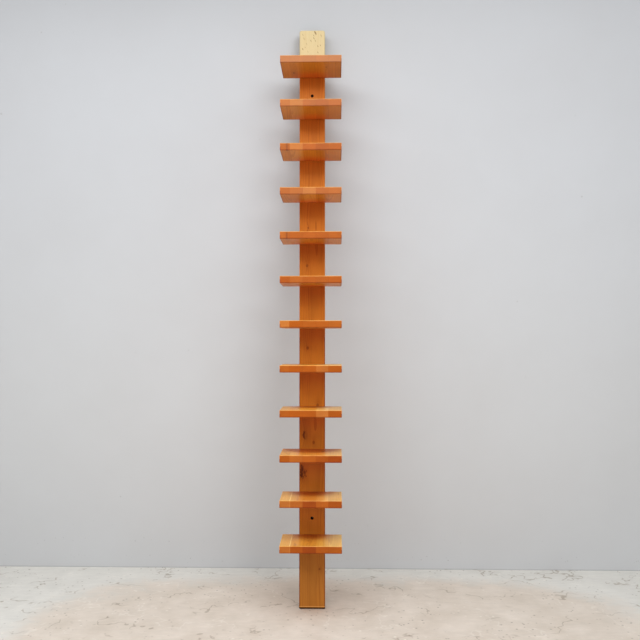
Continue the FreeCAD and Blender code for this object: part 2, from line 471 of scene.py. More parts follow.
def end_grain_mask(tree, axis):
    """1 on faces that are cut across the given axis, 0 on faces along it."""
    across = maths(tree, "ABSOLUTE", faces(tree)[axis])
    return maths(tree, "POWER", across, END_GRAIN_SHARPNESS)


def knots_in(tree, place, knots):
    """Adds up a board's knots; (push, core, halo)."""
    push, core, halo = 0.0, 0.0, 0.0
    for across, along, radius in knots:
        knot = use_group(tree, PINE_KNOT, Place=place, Centre=(across, 0.0, along), Radius=radius)
        push = maths(tree, "ADD", knot.outputs["Push"], push)
        core = maths(tree, "MAXIMUM", knot.outputs["Core"], core)
        halo = maths(tree, "MAXIMUM", knot.outputs["Halo"], halo)
    return push, core, halo


def bumped(tree, shader, height, strength, distance):
    """Gives the shader a fine relief."""
    bump = add(tree, "ShaderNodeBump")
    feed(tree, bump.inputs["Strength"], strength)
    feed(tree, bump.inputs["Distance"], distance)
    feed(tree, bump.inputs["Height"], height)
    feed(tree, shader.inputs["Normal"], bump.outputs["Normal"])


GRAIN_RELIEF = 0.25
VARNISH_BUMP = (0.35, 0.0004)
SHADED_EDGE_TINT = (0.66, 0.50, 0.42, 1.0)


def finish_varnished(tree, shader, node, grain, knots, end_grain, tone):
    """Joins the grain and the varnish's wear to the shader; the varnish's colour, with painted
    shade along the lower edges.
    """
    push, core, halo = knots
    low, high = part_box(node)
    edges = use_group(tree, RUBBED_AND_SHADED_EDGES, Place=frame_place(tree), Low=low, High=high)
    colour = use_group(
        tree, ORANGE_VARNISH,
        Latewood=grain.outputs["Latewood"], Fibre=grain.outputs["Fibre"],
        Cloud=grain.outputs["Cloud"], Knot=core, Halo=halo, End_Grain=end_grain,
        Worn_Edge=edges.outputs["Worn Edge"], Tone=tone,
    )
    wear = use_group(tree, WORN_VARNISH, Place=frame_place(tree))
    feed(tree, shader.inputs["Roughness"], wear.outputs["Roughness"])
    height = scaled(tree, colour.outputs["Relief"], GRAIN_RELIEF, wear.outputs["Relief"])
    bumped(tree, shader, height, *VARNISH_BUMP)
    # Painted shade along the lower edges.
    return tinted(tree, colour.outputs["Colour"], edges.outputs["Lower Edge"], SHADED_EDGE_TINT)


BARK_POCKETS = (  # across, height, half width, half height, strength
    (-0.043, 0.551, 0.0065, 0.026, 0.75),
    (-0.030, 0.546, 0.0055, 0.014, 0.45),
    (-0.033, 0.705, 0.0035, 0.012, 0.50),
)
BARK = (74, 26, 8)
BARK_NOISE = (170.0, 3.0)
BARK_WANDER = 2.4
BARK_FADE = (1.3, 0.5)


def with_bark_pockets(tree, place, colour):
    """Torn dark spots where bark grew into the plank's left edge."""
    torn = noise(tree, place, *BARK_NOISE)
    for across, height, half_width, half_height, strength in BARK_POCKETS:
        away = vector_maths(tree, "SUBTRACT", place, (across, 0.0, height))
        away = stretched(tree, away, (1.0 / half_width, 0.0, 1.0 / half_height))
        reach = scaled(tree, torn, BARK_WANDER, length_of(tree, away))
        colour = marked(tree, colour, fade(tree, reach, *BARK_FADE), strength, BARK)
    return colour


FOOT_NOISE = (40.0, 2.0)
FOOT_WANDER = 0.03
FOOT_FADE = (0.30, 0.24)
FOOT_TINT = (0.70, 0.78, 1.08, 1.0)
LOW_BAYS_FADE = (0.85, 0.55)
LOW_BAYS_SHARE = 0.34
SHELF_PITCH = 0.1725
LOWEST_SHELF_TOP = 0.300
# Painted shade on the spine's front under each shelf: a redder one in the bays above the lowest,
# and a darker one in the lower bays.
UNDER_SHELF_RED_SHADE_FADE = (0.14, 0.78)
UNDER_SHELF_RED_SHADE_TINT = (0.99, 0.84, 0.95, 1.0)
UNDER_SHELF_SHADE_FADE = (0.36, 0.80)
UNDER_SHELF_SHADE_HEIGHT_FADE = (1.87, 1.37)
UNDER_SHELF_SHADE_TINT = (0.80, 0.72, 0.78, 1.0)


def darkened_low_and_under_shelves(tree, place, colour):
    """The plank darker and greyer towards its foot and in the low bays, and painted shade up under
    each shelf, redder in every bay and darker in the lower ones.
    """
    height = parts_of(tree, place)["Z"]
    ragged = scaled(tree, noise(tree, place, *FOOT_NOISE), FOOT_WANDER, height)
    low_bays = times(tree, fade(tree, ragged, *LOW_BAYS_FADE), LOW_BAYS_SHARE)
    foot = maths(tree, "MAXIMUM", fade(tree, ragged, *FOOT_FADE), low_bays)
    colour = tinted(tree, colour, foot, FOOT_TINT)
    bays = maths(tree, "DIVIDE", maths(tree, "SUBTRACT", height, LOWEST_SHELF_TOP), SHELF_PITCH)
    up_the_bay = maths(tree, "FRACT", bays)
    in_front = maths(tree, "MULTIPLY", faces(tree)["Y"], -1.0, clamp=True)
    above_second = maths(tree, "GREATER_THAN", height, LOWEST_SHELF_TOP + SHELF_PITCH)
    # Painted shade, redder, up under each shelf.
    red_shade = times(tree, fade(tree, up_the_bay, *UNDER_SHELF_RED_SHADE_FADE), in_front)
    colour = tinted(tree, colour, times(tree, red_shade, above_second), UNDER_SHELF_RED_SHADE_TINT)
    # Painted shade, darker, up under each shelf in the lower bays.
    low_down = fade(tree, height, *UNDER_SHELF_SHADE_HEIGHT_FADE)
    under_shelf = times(tree, fade(tree, up_the_bay, *UNDER_SHELF_SHADE_FADE), low_down)
    above_foot = maths(tree, "GREATER_THAN", height, LOWEST_SHELF_TOP)
    under_shelf_shade = times(tree, under_shelf, times(tree, above_foot, in_front))
    return tinted(tree, colour, under_shelf_shade, UNDER_SHELF_SHADE_TINT)


# Painted light at the spine's foot: a highlight line along the arris and a dark shadow line at the
# floor.
FOOT_HIGHLIGHT_HEIGHT = 0.0100
FOOT_HIGHLIGHT_FADE = (0.0022, 0.0008)
FOOT_HIGHLIGHT_MARK = (0.65, (236, 168, 96))
FOOT_SHADOW_FADE = (0.0080, 0.0070)
FOOT_SHADOW_MARK = (0.85, (58, 34, 12))


def with_painted_foot_lines(tree, place, colour):
    """The plank's lower end: a painted highlight line over a painted dark shadow line at the floor.
    """
    height = parts_of(tree, place)["Z"]
    from_highlight = maths(tree, "ABSOLUTE", maths(tree, "SUBTRACT", height, FOOT_HIGHLIGHT_HEIGHT))
    colour = marked(tree, colour, fade(tree, from_highlight, *FOOT_HIGHLIGHT_FADE), *FOOT_HIGHLIGHT_MARK)
    return marked(tree, colour, fade(tree, height, *FOOT_SHADOW_FADE), *FOOT_SHADOW_MARK)


WALL_HOLES = (0.365, 2.095)
WALL_HOLE_REACH = 0.0060
WALL_HOLE_RIM_FADE = (0.0072, WALL_HOLE_REACH)
WALL_HOLE_RIM_SHARE = 0.75
WALL_HOLE_INSIDE = 0.0008
WALL_HOLE_SHADE = (34, 16, 6)


def with_wall_holes(tree, place, colour):
    """The two wall screw holes, painted dark inside as shade, each with a dark rim on the plank's
    front.
    """
    deep = parts_of(tree, place)["Y"]
    low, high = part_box("spine")
    inside = maths(tree, "GREATER_THAN", deep, low.y + WALL_HOLE_INSIDE)
    inside = times(tree, maths(tree, "LESS_THAN", deep, high.y - WALL_HOLE_INSIDE), inside)
    at_front = maths(tree, "LESS_THAN", deep, 0.0)
    for height in WALL_HOLES:
        away = vector_maths(tree, "SUBTRACT", place, (0.0, 0.0, height))
        reach = length_of(tree, stretched(tree, away, (1.0, 0.0, 1.0)))
        # Painted shade inside each hole.
        in_hole = times(tree, maths(tree, "LESS_THAN", reach, WALL_HOLE_REACH), inside)
        rim = times(tree, fade(tree, reach, *WALL_HOLE_RIM_FADE), WALL_HOLE_RIM_SHARE)
        dark = maths(tree, "MAXIMUM", in_hole, times(tree, rim, at_front))
        colour = blend_colours(tree, dark, colour, srgb(*WALL_HOLE_SHADE))
    return colour


def spine_material():
    material, tree, shader = new_material("spine_varnished_pine")
    place = frame_place(tree)
    knots = knots_in(tree, place, SPINE_KNOTS)
    board = vector_maths(tree, "SUBTRACT", place, SPINE_HEART)
    grain = use_group(tree, PINE_GRAIN, Place=board, Ring_Width=SPINE_RING_WIDTH, Push=knots[0])
    end_grain = end_grain_mask(tree, "Z")
    colour = finish_varnished(tree, shader, "spine", grain, knots, end_grain, SPINE_TONE)
    colour = with_bark_pockets(tree, place, colour)
    colour = darkened_low_and_under_shelves(tree, place, colour)
    colour = with_painted_foot_lines(tree, place, colour)
    colour = with_wall_holes(tree, place, colour)
    feed(tree, shader.inputs["Base Color"], colour)
    shader.inputs["Specular IOR Level"].default_value = SPINE_GLOSS
    return material


def dress(node, material):
    """Gives a piece its finish."""
    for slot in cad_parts[node].material_slots:
        slot.material = material


dress("spine", spine_material())


# ---- The shelves ----
# Twelve equal boards, each glued up from five pine staves whose grain runs from the spine to the
# front, so the front edge is end grain. Every stave comes from another plank: it has its own heart
# and tone under the same orange varnish, and a thin dark glue line beside it.

SHELF_NUMBERS = range(1, 13)
SHELF_RING_WIDTH = 0.0030
SHELF_GLOSS = 0.11
SHELF_COAT = 0.04
POLISHED_TOP_COAT = 0.31
COAT_ROUGHNESS = 0.16
COAT_IOR = 1.5
STAVE_JOINTS = (-0.082, -0.0305, 0.0205, 0.0685)
STAVE_COUNT = len(STAVE_JOINTS) + 1
STAVE_MIDDLES_SPAN = (0.048, -0.096)
HEART_SPREAD = (0.09, 0.16, 3.0)
GLUE_LINE = 0.0004
SHELF_KNOTS = {  # X, Y, radius
    1: ((-0.010, -0.120, 0.0035),),
    3: ((0.048, -0.090, 0.0050),),
    6: ((0.095, -0.060, 0.0045),),
    8: ((-0.091, -0.186, 0.0050),),
    10: ((-0.092, -0.188, 0.0035),),
    12: ((-0.071, -0.081, 0.0040), (0.060, -0.140, 0.0030)),
}
DEEP, DARK, PLAIN, LIGHT, PALE, BLOND = 0.10, 0.36, 0.50, 0.64, 0.80, 0.95
ODD_STAVES = {  # the staves, counted from the left, that stand out on a shelf
    1: {0: PALE, 1: DARK, 2: DEEP},
    2: {0: PALE, 1: LIGHT, 2: DEEP, 4: DARK},
    3: {1: LIGHT, 3: DARK, 4: DEEP},
    4: {3: PALE},
    5: {0: LIGHT, 3: PALE},
    6: {0: BLOND, 4: LIGHT},
    7: {0: DARK, 1: LIGHT},
    8: {0: LIGHT},
    9: {1: LIGHT, 2: PALE},
    10: {1: PALE, 3: DARK},
    11: {0: LIGHT, 1: PALE, 3: DARK},
}
SIDE_GRAIN_SHARE = 0.45
CHANCE_TONE = 0.12
GLUE_TONE = -0.35
SHELVES_WITH_SAPWOOD = (1, 2)
SAPWOOD_EDGE = 0.0040
SAPWOOD_TONE = 0.75
# Pale dust and a painted sheen on the front edges, strongest on the highest shelves, where the
# fronts reflect the ceiling.
DUST_AND_SHEEN = (200, 158, 116)
DUST_AND_SHEEN_ON_FRONT = {7: 0.03, 8: 0.04, 9: 0.13, 10: 0.06, 11: 0.15, 12: 0.33}


def vector_of(tree, x, y, z):
    node = add(tree, "ShaderNodeCombineXYZ")
    for socket, source in zip(node.inputs, (x, y, z)):
        feed(tree, socket, source)
    return node.outputs[0]


def stave_group():
    """Which stave a place is in, and where it lies in that stave's own log."""
    tree, given, result = new_group(
        "glued staves",
        {"Place": "Vector", "Shelf": "Float"},
        {"Stave": "Float", "Glue": "Float", "Board": "Vector", "Chance": "Float"},
    )
    across, deep, high = parts_of(tree, given.outputs["Place"])
    stave, nearest = 0.0, 1.0
    for joint in STAVE_JOINTS:
        stave = maths(tree, "ADD", maths(tree, "GREATER_THAN", across, joint), stave)
        gap = maths(tree, "ABSOLUTE", maths(tree, "SUBTRACT", across, joint))
        nearest = maths(tree, "MINIMUM", gap, nearest)
    chance = add(tree, "ShaderNodeTexWhiteNoise", noise_dimensions="2D")
    feed(tree, chance.inputs["Vector"], vector_of(tree, stave, given.outputs["Shelf"], 0.0))
    heart = vector_maths(tree, "SUBTRACT", chance.outputs["Color"], (0.5, 0.5, 0.5))
    heart = stretched(tree, heart, HEART_SPREAD)
    middle = maths(tree, "SUBTRACT", across, scaled(tree, stave, *STAVE_MIDDLES_SPAN))
    board = vector_maths(tree, "ADD", vector_of(tree, middle, high, deep), heart)
    feed(tree, result.inputs["Board"], board)
    feed(tree, result.inputs["Stave"], stave)
    feed(tree, result.inputs["Glue"], maths(tree, "LESS_THAN", nearest, GLUE_LINE))
    feed(tree, result.inputs["Chance"], chance.outputs["Value"])
    return tree


GLUED_STAVES = stave_group()


def stave_tone(tree, number, staves, across, end_grain):
    """How red-brown or pale a place is, by its stave, a glue line or a strip of sapwood."""
    odd = ODD_STAVES.get(number, {})
    stops = [(i / STAVE_COUNT, grey(odd.get(i, PLAIN))) for i in range(STAVE_COUNT)]
    chosen = scaled(tree, staves.outputs["Stave"], 1 / STAVE_COUNT, 0.5 / STAVE_COUNT)
    own = maths(tree, "SUBTRACT", ramp(tree, chosen, stops, "CONSTANT"), PLAIN)
    share = scaled(tree, end_grain, 1.0 - SIDE_GRAIN_SHARE, SIDE_GRAIN_SHARE)
    tone = scaled(tree, own, share, PLAIN)
    chance = maths(tree, "SUBTRACT", staves.outputs["Chance"], 0.5)
    tone = scaled(tree, chance, CHANCE_TONE, tone)
    tone = scaled(tree, staves.outputs["Glue"], GLUE_TONE, tone)
    if number in SHELVES_WITH_SAPWOOD:
        past = maths(tree, "SUBTRACT", across, STAVE_JOINTS[0])
        strip = maths(tree, "COMPARE", past, SAPWOOD_EDGE / 2, SAPWOOD_EDGE / 2)
        tone = scaled(tree, strip, SAPWOOD_TONE, tone)
    return tone


# Painted light and shade on the shelves: shade round the spine, on the undersides and on some tops'
# middles, and light on the open tops.
CORNER_SHADE_FADE = (0.120, 0.050)
DEEPER_CORNER_SHADE_FADE = {2: (0.135, 0.062), 3: (0.165, 0.085)}
CORNER_SHADE_TINT = (0.60, 0.46, 0.49, 1.0)
UNDER_CORNER_SHADE_TINT = (1.06, 0.78, 0.98, 1.0)
UNDER_ENDS_SHADE_TINT = (0.94, 1.0, 1.0, 1.0)
FORWARD_SHARES = (0.25, 0.8)
TOP_LIGHT_BACK_TINT = (0.96, 1.31, 1.50, 1.0)
TOP_LIGHT_FRONT_TINT = (1.11, 1.56, 1.82, 1.0)
RIGHT_LIGHT_FADE = (0.0, 0.09)
RIGHT_LIGHT_BACK_TINT = (1.12, 1.48, 2.60, 1.0)
RIGHT_LIGHT_FRONT_TINT = (1.06, 1.28, 1.95, 1.0)
SHELVES_WITH_MIDDLE_SHADE = (2, 3)
MIDDLE_SHADE_FADE = (0.075, 0.035)
MIDDLE_SHADE_TINT = (0.96, 0.80, 0.84, 1.0)


def shelf_light_group():
    """Painted light and shade on a shelf: shade round the spine, light on the top, stronger towards
    the front and on the right, and shade on the underside.

    Front is the front edge's Y. Books is 1 where the top's middle gets painted shade in front of
    the spine.
    """
    tree, given, result = new_group(
        "lit and shaded shelf",
        {
            "Colour": "Color", "Place": "Vector", "Upward": "Float", "Front": "Float",
            "Clean From": "Float", "Grimy To": "Float", "Books": "Float",
        },
        {"Colour": "Color", "Unshaded Top": "Float"},
    )
    across, deep, _ = parts_of(tree, given.outputs["Place"])
    up = maths(tree, "MAXIMUM", given.outputs["Upward"], 0.0)
    down = maths(tree, "MULTIPLY", given.outputs["Upward"], -1.0, clamp=True)
    from_spine = length_of(tree, drawn_out(tree, given.outputs["Place"], 0.0))
    corner = fade(tree, from_spine, given.outputs["Clean From"], given.outputs["Grimy To"])
    open_part = maths(tree, "SUBTRACT", 1.0, corner)
    lit_top = times(tree, open_part, up)
    bounds = [times(tree, given.outputs["Front"], share) for share in FORWARD_SHARES]
    forward = fade(tree, deep, *bounds)
    # Painted shade on the top round the spine; on the underside, redder round the spine and darker
    # towards the ends.
    colour = tinted(tree, given.outputs["Colour"], times(tree, corner, up), CORNER_SHADE_TINT)
    colour = tinted(tree, colour, times(tree, corner, down), UNDER_CORNER_SHADE_TINT)
    colour = tinted(tree, colour, times(tree, open_part, down), UNDER_ENDS_SHADE_TINT)
    # Painted light on the open top, brighter towards the front and on the right.
    tint = blend_colours(tree, forward, TOP_LIGHT_BACK_TINT, TOP_LIGHT_FRONT_TINT)
    colour = tinted(tree, colour, lit_top, tint)
    tint = blend_colours(tree, forward, RIGHT_LIGHT_BACK_TINT, RIGHT_LIGHT_FRONT_TINT)
    lit_right = times(tree, fade(tree, across, *RIGHT_LIGHT_FADE), up)
    colour = tinted(tree, colour, lit_right, tint)
    # Painted shade on the middle of the top, in front of the spine, on the shelves listed for it.
    off_middle = maths(tree, "ABSOLUTE", across)
    shaded_middle = times(tree, fade(tree, off_middle, *MIDDLE_SHADE_FADE), up)
    shaded_middle = times(tree, shaded_middle, given.outputs["Books"])
    feed(tree, result.inputs["Colour"], tinted(tree, colour, shaded_middle, MIDDLE_SHADE_TINT))
    feed(tree, result.inputs["Unshaded Top"], lit_top)
    return tree


SHELF_PAINTED_LIGHT = shelf_light_group()


def shelf_material(number):
    name = f"shelf_{number:02d}"
    material, tree, shader = new_material(f"{name}_varnished_pine")
    low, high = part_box(name)
    middle = (0.0, 0.0, (low.z + high.z) / 2)
    place = vector_maths(tree, "SUBTRACT", frame_place(tree), middle)
    staves = use_group(tree, GLUED_STAVES, Place=place, Shelf=float(number))
    across, deep, _ = parts_of(tree, place)
    knots = knots_in(tree, vector_of(tree, across, 0.0, deep), SHELF_KNOTS.get(number, ()))
    grain = use_group(
        tree, PINE_GRAIN,
        Place=staves.outputs["Board"], Ring_Width=SHELF_RING_WIDTH, Push=knots[0],
    )
    end_grain = end_grain_mask(tree, "Y")
    tone = stave_tone(tree, number, staves, across, end_grain)
    colour = finish_varnished(tree, shader, name, grain, knots, end_grain, tone)
    # Pale dust and painted sheen on the front edge.
    colour = marked(tree, colour, end_grain, DUST_AND_SHEEN_ON_FRONT.get(number, 0.0), DUST_AND_SHEEN)
    unshaded_from, shaded_to = DEEPER_CORNER_SHADE_FADE.get(number, CORNER_SHADE_FADE)
    # Painted light and shade on the shelf.
    lit_and_shaded = use_group(
        tree, SHELF_PAINTED_LIGHT,
        Colour=colour, Place=place, Upward=faces(tree)["Z"], Front=low.y,
        Clean_From=unshaded_from, Grimy_To=shaded_to, Books=float(number in SHELVES_WITH_MIDDLE_SHADE),
    )
    feed(tree, shader.inputs["Base Color"], lit_and_shaded.outputs["Colour"])
    coat = scaled(tree, lit_and_shaded.outputs["Unshaded Top"], POLISHED_TOP_COAT - SHELF_COAT, SHELF_COAT)
    feed(tree, shader.inputs["Coat Weight"], coat)
    shader.inputs["Specular IOR Level"].default_value = SHELF_GLOSS
    shader.inputs["Coat Roughness"].default_value = COAT_ROUGHNESS
    shader.inputs["Coat IOR"].default_value = COAT_IOR
    return material


for shelf_number in SHELF_NUMBERS:
    dress(f"shelf_{shelf_number:02d}", shelf_material(shelf_number))


# ---- The top block ----
# A length of pale softwood left bare, of the spine's own section, planed and sanded. It has no
# varnish, so it is matt, creamy and shows small brown flecks in its grain.

BLOCK_HEART = (-0.030, 0.060, 0.4)
BLOCK_RING_WIDTH = 0.0034
BLOCK_WOOD = (226, 205, 156)
BLOCK_RING_MARK = (0.30, (208, 176, 116))
BLOCK_EDGE_MARK = (0.6, (238, 222, 178))
BLOCK_FIBRE_SPAN = (0.16, 0.95)
BLOCK_CLOUD = 0.14
BLOCK_ROUGHNESS_SPAN = (0.2, 0.68)
BLOCK_BUMP = (0.5, 0.0004)
BLOCK_FLECKS = (  # across, below the block's top, long half, strength
    (0.0128, 0.0110, 0.0065, 0.9),
    (0.0060, 0.0221, 0.0032, 0.7),
    (0.0069, 0.0339, 0.0035, 0.9),
    (-0.0059, 0.0440, 0.0038, 0.6),
    (0.0127, 0.0440, 0.0040, 0.4),
    (-0.0390, 0.0190, 0.0050, 0.35),
    (-0.0340, 0.0350, 0.0060, 0.25),
    (0.0235, 0.0671, 0.0028, 0.9),
    (0.0339, 0.0636, 0.0026, 0.8),
    (-0.0391, 0.0790, 0.0034, 0.9),
    (-0.0294, 0.0714, 0.0026, 0.6),
    (-0.0235, 0.0570, 0.0040, 0.3),
    (0.0235, 0.0930, 0.0030, 0.8),
    (0.0372, 0.0230, 0.0048, 0.35),
    (-0.0180, 0.0900, 0.0040, 0.25),
)
FLECK_MARK = (0.95, (132, 98, 54))
FLECK_LEAN = math.radians(28)
FLECK_NARROW = 2.3
FLECK_LONG = 0.75
FLECK_NOISE = (380.0, 3.0, 0.6)
FLECK_WANDER = 1.1
FLECK_FADE = (1.35, 0.55)


def flecks_in(tree, place):
    """Short dark resin marks, all leaning the way that the block was planed."""
    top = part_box("top_block")[1].z
    uneven = noise(tree, place, *FLECK_NOISE)
    flecks = 0.0
    for across, below, half, strength in BLOCK_FLECKS:
        away = vector_maths(tree, "SUBTRACT", place, (across, 0.0, top - below))
        lean = add(tree, "ShaderNodeVectorRotate", rotation_type="Y_AXIS")
        feed(tree, lean.inputs["Vector"], away)
        feed(tree, lean.inputs["Angle"], FLECK_LEAN)
        shape = (FLECK_NARROW / half, 0.0, FLECK_LONG / half)
        reach = length_of(tree, stretched(tree, lean.outputs[0], shape))
        mark = fade(tree, scaled(tree, uneven, FLECK_WANDER, reach), *FLECK_FADE)
        flecks = maths(tree, "MAXIMUM", times(tree, mark, strength), flecks)
    return flecks


def block_material():
    material, tree, shader = new_material("bare_softwood")
    place = frame_place(tree)
    board = vector_maths(tree, "SUBTRACT", place, BLOCK_HEART)
    grain = use_group(tree, PINE_GRAIN, Place=board, Ring_Width=BLOCK_RING_WIDTH, Push=0.0)
    low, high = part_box("top_block")
    edges = use_group(tree, RUBBED_AND_SHADED_EDGES, Place=place, Low=low, High=high)
    flecks = flecks_in(tree, place)
    fibre = grain.outputs["Fibre"]
    colour = marked(tree, srgb(*BLOCK_WOOD), grain.outputs["Latewood"], *BLOCK_RING_MARK)
    colour = marked(tree, colour, edges.outputs["Worn Edge"], *BLOCK_EDGE_MARK)
    colour = marked(tree, colour, flecks, *FLECK_MARK)
    shade = scaled(tree, fibre, *BLOCK_FIBRE_SPAN)
    shade = scaled(tree, grain.outputs["Cloud"], BLOCK_CLOUD, shade)
    feed(tree, shader.inputs["Base Color"], shaded(tree, colour, shade))
    feed(tree, shader.inputs["Roughness"], scaled(tree, fibre, *BLOCK_ROUGHNESS_SPAN))
    bumped(tree, shader, maths(tree, "SUBTRACT", fibre, flecks), *BLOCK_BUMP)
    return material


dress("top_block", block_material())


# ---- The dowels ----
# Turned beech pegs, bare and dry: two in each shelf's joint and two under the top block. They are
# glued in and sealed inside the wood, so none shows when the shelf is whole.

BEECH_WOOD = (214, 176, 134)
BEECH_BAND = (196, 152, 108)
BEECH_BAND_NOISE = (120.0, 2.0)
BEECH_PORE_NOISE = (1400.0, 1.0)
BEECH_PORE_SHAPE = (1.0, 0.2, 1.0)
BEECH_RAYS_ABOVE = 0.12
BEECH_RAY_MARK = (0.45, (150, 104, 66))
BEECH_ROUGHNESS_SPAN = (0.2, 0.62)


def beech_material():
    material, tree, shader = new_material("beech")
    place = frame_place(tree)
    pores = noise(tree, stretched(tree, place, BEECH_PORE_SHAPE), *BEECH_PORE_NOISE)
    rays = maths(tree, "GREATER_THAN", pores, BEECH_RAYS_ABOVE)
    band = maths(tree, "ADD", noise(tree, place, *BEECH_BAND_NOISE), 0.5)
    colour = blend_colours(tree, band, srgb(*BEECH_WOOD), srgb(*BEECH_BAND))
    colour = marked(tree, colour, rays, *BEECH_RAY_MARK)
    feed(tree, shader.inputs["Base Color"], colour)
    feed(tree, shader.inputs["Roughness"], scaled(tree, pores, *BEECH_ROUGHNESS_SPAN))
    return material


BEECH = beech_material()
dress("top_block_dowels", BEECH)
for shelf_number in SHELF_NUMBERS:
    dress(f"shelf_dowels_{shelf_number:02d}", BEECH)


# ---- The shelf screws ----
# Two countersunk wood screws for each shelf, zinc plated, driven from behind with a cross driver.
# Their heads sit sunk in the spine's back, a little dulled in patches.

BRIGHT_ZINC = (206, 208, 210)
DULL_ZINC = (170, 166, 152)
DULL_NOISE = (60.0, 2.0)
DULL_SPAN = (1.6, 0.5)
SPANGLE_NOISE = (420.0, 3.0)
ZINC_ROUGHNESS_SPAN = (0.3, 0.34)
ZINC_BUMP = (0.2, 0.0001)


def zinc_material():
    material, tree, shader = new_material("zinc_plated_steel")
    place = frame_place(tree)
    spangle = noise(tree, place, *SPANGLE_NOISE)
    dull = scaled(tree, noise(tree, place, *DULL_NOISE), *DULL_SPAN, clamp=True)
    colour = blend_colours(tree, dull, srgb(*BRIGHT_ZINC), srgb(*DULL_ZINC))
    feed(tree, shader.inputs["Base Color"], colour)
    shader.inputs["Metallic"].default_value = 1.0
    feed(tree, shader.inputs["Roughness"], scaled(tree, spangle, *ZINC_ROUGHNESS_SPAN))
    bumped(tree, shader, spangle, *ZINC_BUMP)
    return material


ZINC = zinc_material()
for shelf_number in SHELF_NUMBERS:
    dress(f"shelf_screws_{shelf_number:02d}", ZINC)


# ---- The room ----
# A pale floor with a worn patch of bare screed, and a pale painted wall that stands well behind the
# foot and comes close to the top, as where a shelf leans on it. The wall shows only from its front,
# for looks from behind, and lets the sky's light through to the shelf's back close to it.

ROOM_HALF_WIDTH = 7.0
ROOM_DEPTH = 9.0
WALL_BEHIND_FOOT = 0.49
WALL_BEHIND_TOP = 0.028
WALL_HEIGHT = 3.4


def sheet_of(name, corners, material):
    """One flat surface of the room, staged beside the shelf."""
    mesh = bpy.data.meshes.new(name)
    mesh.from_pydata(corners, [], [tuple(range(len(corners)))])
    mesh.materials.append(material)
    piece = bpy.data.objects.new(name, mesh)
    bpy.context.scene.collection.objects.link(piece)


MOTTLE_DETAIL = 5.0
MOTTLE_ROUGHNESS = 0.62
MOTTLE_SPAN = (1.8, 0.5)


def mottle_group():
    """Two colours that run into each other in patches, as in old paint and screed."""
    tree, given, result = new_group(
        "mottled coat",
        {"Place": "Vector", "Scale": "Float", "First": "Color", "Second": "Color"},
        {"Colour": "Color"},
    )
    patches = noise(
        tree, given.outputs["Place"], given.outputs["Scale"], MOTTLE_DETAIL, MOTTLE_ROUGHNESS
    )
    factor = scaled(tree, patches, *MOTTLE_SPAN, clamp=True)
    colour = blend_colours(tree, factor, given.outputs["First"], given.outputs["Second"])
    feed(tree, result.inputs["Colour"], colour)
    return tree


SPECK_GATHERING_NOISE = (3.5, 3.0)
SPECK_GATHERING_FADE = (-0.10, 0.14)
SPECK_SIZE_SPAN = (0.26, 0.04)
SPECK_CORE = 0.4


def speck_group():
    """Small scattered spots, as of grit and pinholes in plaster."""
    tree, given, result = new_group(
        "scattered specks",
        {"Place": "Vector", "Scale": "Float", "Share": "Float"},
        {"Specks": "Float"},
    )
    cells = add(tree, "ShaderNodeTexVoronoi")
    feed(tree, cells.inputs["Vector"], given.outputs["Place"])
    feed(tree, cells.inputs["Scale"], given.outputs["Scale"])
    drawn = add(tree, "ShaderNodeSeparateColor")
    feed(tree, drawn.inputs["Color"], cells.outputs["Color"])
    none_below = maths(tree, "SUBTRACT", 1.0, given.outputs["Share"])
    few = maths(tree, "GREATER_THAN", drawn.outputs["Green"], none_below)
    size = scaled(tree, drawn.outputs["Blue"], *SPECK_SIZE_SPAN)
    spot = fade(tree, cells.outputs["Distance"], size, times(tree, size, SPECK_CORE))
    gathered = noise(tree, given.outputs["Place"], *SPECK_GATHERING_NOISE)
    gathered = fade(tree, gathered, *SPECK_GATHERING_FADE)
    feed(tree, result.inputs["Specks"], times(tree, times(tree, spot, few), gathered))
    return tree


MOTTLED_COAT = mottle_group()
SCATTERED_SPECKS = speck_group()


def mottled(tree, place, scale, first, second):
    coat = use_group(
        tree, MOTTLED_COAT, Place=place, Scale=scale, First=srgb(*first), Second=srgb(*second)
    )
    return coat.outputs["Colour"]


def specks_in(tree, place, scale, share):
    specks = use_group(tree, SCATTERED_SPECKS, Place=place, Scale=scale, Share=share)
    return specks.outputs["Specks"]


SCRATCH_NOISE = (2.6, 4.0, 0.6)
SCRATCH_FADE = (0.0075, 0.0016)
SCRATCH_BREAKS_NOISE = (6.0, 2.0)
SCRATCH_BREAKS_FADE = (-0.02, 0.06)


def scratches_in(tree, place):
    """Thin wandering lines that break off, as where heavy things were dragged."""
    wander = maths(tree, "ABSOLUTE", noise(tree, place, *SCRATCH_NOISE))
    broken = fade(tree, noise(tree, place, *SCRATCH_BREAKS_NOISE), *SCRATCH_BREAKS_FADE)
    return times(tree, fade(tree, wander, *SCRATCH_FADE), broken)


FLOOR_MOTTLE = 6.0
FLOOR_PAINT = ((224, 222, 216), (208, 206, 200))
FLOOR_ROUGHNESS = 0.75
SCREED = ((222, 212, 201), (198, 186, 172))
SCREED_MIDDLE = (0.12, -0.75)
SCREED_HALF = (1.24, 1.08)
SCREED_SQUARENESS = 4.0
SCREED_NOISE = (3.0, 6.0, 0.7)
SCREED_WANDER = 1.6
SCREED_FADE = (1.3, 0.7)
STREAK_SHAPE = (0.35, 1.0, 1.0)
STREAK_NOISE = (42.0, 5.0, 0.65)
STREAK_SPAN = (0.22, 1.0)
GRIT = (52.0, 0.75)  # cells to the metre, share of the cells that hold a speck
GRIT_MARK = (0.6, (112, 98, 84))
CHIPS = (40.0, 0.5)
CHIPS_ASIDE = (0.3, 0.7, 0.0)
CHIP_MARK = (0.5, (236, 231, 222))
SCRATCH_MARK = (0.6, (150, 136, 120))
SCUFFS_ASIDE = (2.1, 0.4, 0.0)
SCUFF_MARK = (0.22, (242, 238, 230))
BEHIND_FOOT = (0.0, 0.14, 0.0)
FLOOR_SHADOW_FADE = (0.41, 0.10)
